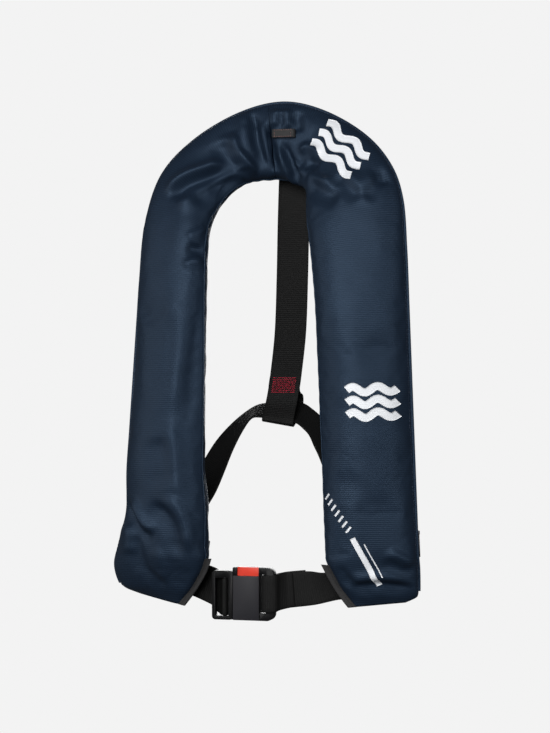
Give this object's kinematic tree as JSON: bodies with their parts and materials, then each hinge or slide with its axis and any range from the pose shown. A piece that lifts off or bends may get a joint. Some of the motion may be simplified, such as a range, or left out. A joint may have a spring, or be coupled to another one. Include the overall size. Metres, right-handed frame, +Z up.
{
  "type": "inflatable life jacket",
  "caption": "Horseshoe inflatable life jacket: zipped nylon cover over a folded bladder, gas inflator and oral tube, with a webbing harness and a push-button buckle.",
  "frame": {"origin": "middle of the hang loop's slot at the inside of the neck, from which the jacket hangs", "axes": "+Z up along the jacket, -Y to the wearer's front, +X to the wearer's left"},
  "size_m": [0.3464, 0.1438, 0.5641],
  "materials": {
    "cover_nylon": "woven nylon with a fine rib and a soft sheen",
    "zip_fabric": "woven zip tape",
    "zip_plastic": "nylon coil",
    "zip_metal": "black painted",
    "binding_tape": "folded woven binding",
    "webbing": "ribbed polyester webbing",
    "red_thread": "zigzag stitching thread",
    "black_plastic": "moulded acetal, satin",
    "grey_plastic": "moulded acetal, fine texture",
    "red_plastic": "moulded, satin",
    "yellow_plastic": "moulded, satin",
    "orange_plastic": "moulded, satin",
    "white_plastic": "moulded, satin",
    "steel": "bright drawn wire and pins",
    "cylinder_steel": "zinc plated",
    "brass_nut": "nickel washed",
    "cartridge_salt": "pressed tablet in a carrier",
    "seal_rubber": "moulded rubber",
    "bladder_fabric": "coated nylon, welded",
    "reflective": "reflective tape"
  },
  "bodies": {
    "root": {"cover_front_right": "cover_nylon", "cover_front_left": "cover_nylon", "cover_back_right": "cover_nylon", "cover_back_left": "cover_nylon", "zip_tape": "zip_fabric", "zip_coil": "zip_plastic", "edge_binding_right": "binding_tape", "edge_binding_left": "binding_tape", "hang_loop": "binding_tape", "back_strap": "webbing", "back_strap_stitching": "red_thread", "waist_belt_back": "webbing", "waist_belt_right": "webbing", "waist_belt_left": "webbing", "belt_guide_right": "webbing", "belt_guide_left": "webbing", "buckle_tongue": "black_plastic", "adjuster_bar": "steel", "inflator_body": "grey_plastic", "neck_seal": "seal_rubber", "lever_pin": "steel", "piercing_spring": "steel", "manifold": "seal_rubber", "manifold_nut": "brass_nut", "bladder": "bladder_fabric", "reflective_tape": "reflective", "oral_tube": "seal_rubber", "valve_spring": "steel", "valve_seat": "black_plastic", "whistle": "orange_plastic", "whistle_band": "seal_rubber"},
    "buckle_housing_group": {"buckle_housing": "black_plastic", "buckle_cover": "grey_plastic", "latch_pin": "steel", "button_spring": "steel"},
    "release_button": {"release_button": "red_plastic"},
    "latch_lever": {"latch_lever": "grey_plastic"},
    "zip_slider": {"zip_slider": "zip_metal"},
    "zip_pull": {"zip_pull": "zip_metal"},
    "pull_lever": {"pull_lever": "red_plastic"},
    "piercing_pin": {"piercing_pin": "steel"},
    "gas_cylinder": {"gas_cylinder": "cylinder_steel"},
    "auto_cap": {"auto_cap": "yellow_plastic", "cartridge": "cartridge_salt"},
    "oral_valve": {"oral_valve": "white_plastic"},
    "oral_cap": {"oral_cap": "red_plastic"}
  },
  "joints": [
    {"name": "buckle_slide", "type": "slide", "parent": "root", "child": "buckle_housing_group", "axis": [1, 0, 0], "range_m": [0, 0.03], "deforming": ["waist_belt_left"]},
    {"name": "button_press", "type": "slide", "parent": "buckle_housing_group", "child": "release_button", "axis": [0, 0, -1], "range_m": [0, 0.003], "stiffness_N_per_m": 500, "springref_m": -0.0005, "deforming": ["button_spring"]},
    {"name": "latch_rock", "type": "hinge", "parent": "buckle_housing_group", "child": "latch_lever", "pos_m": [-0.017, -0.0547, -0.51325], "axis": [0, -1, 0], "range_deg": [0, 21]},
    {"name": "zip_slide", "type": "slide", "parent": "root", "child": "zip_slider", "axis": [-0.0389, 0, 0.9992], "range_m": [0, 0.2]},
    {"name": "zip_pull_swing", "type": "hinge", "parent": "zip_slider", "child": "zip_pull", "pos_m": [0.15495, -0.02323, -0.4359], "axis": [0.2759, -0.9611, 0.0107], "range_deg": [0, 150]},
    {"name": "lever_pull", "type": "hinge", "parent": "root", "child": "pull_lever", "pos_m": [-0.1358, -0.03816, -0.452], "axis": [-0.2756, -0.9613, 0], "range_deg": [0, 80]},
    {"name": "pin_drive", "type": "slide", "parent": "root", "child": "piercing_pin", "axis": [0, 0, 1], "range_m": [0, 0.007], "deforming": ["piercing_spring"]},
    {"name": "cylinder_unscrew", "type": "hinge", "parent": "root", "child": "gas_cylinder", "pos_m": [-0.12763, -0.04051, -0.438], "axis": [0, 0, 1], "continuous": true},
    {"name": "cap_unscrew", "type": "hinge", "parent": "root", "child": "auto_cap", "pos_m": [-0.12763, -0.04051, -0.475], "axis": [0, 0, 1], "continuous": true},
    {"name": "valve_press", "type": "slide", "parent": "root", "child": "oral_valve", "axis": [0.0389, 0, -0.9992], "range_m": [0, 0.002], "stiffness_N_per_m": 300, "springref_m": -0.001, "deforming": ["valve_spring"]},
    {"name": "cap_off", "type": "slide", "parent": "root", "child": "oral_cap", "axis": [-0.0389, 0, 0.9992], "range_m": [0, 0.025]}
  ],
  "couplings": [
    {"joint": "latch_rock", "follows": "button_press", "rad_per_m": 122.17},
    {"joint": "pin_drive", "follows": "lever_pull", "m_per_rad": 0.0047985}
  ]
}
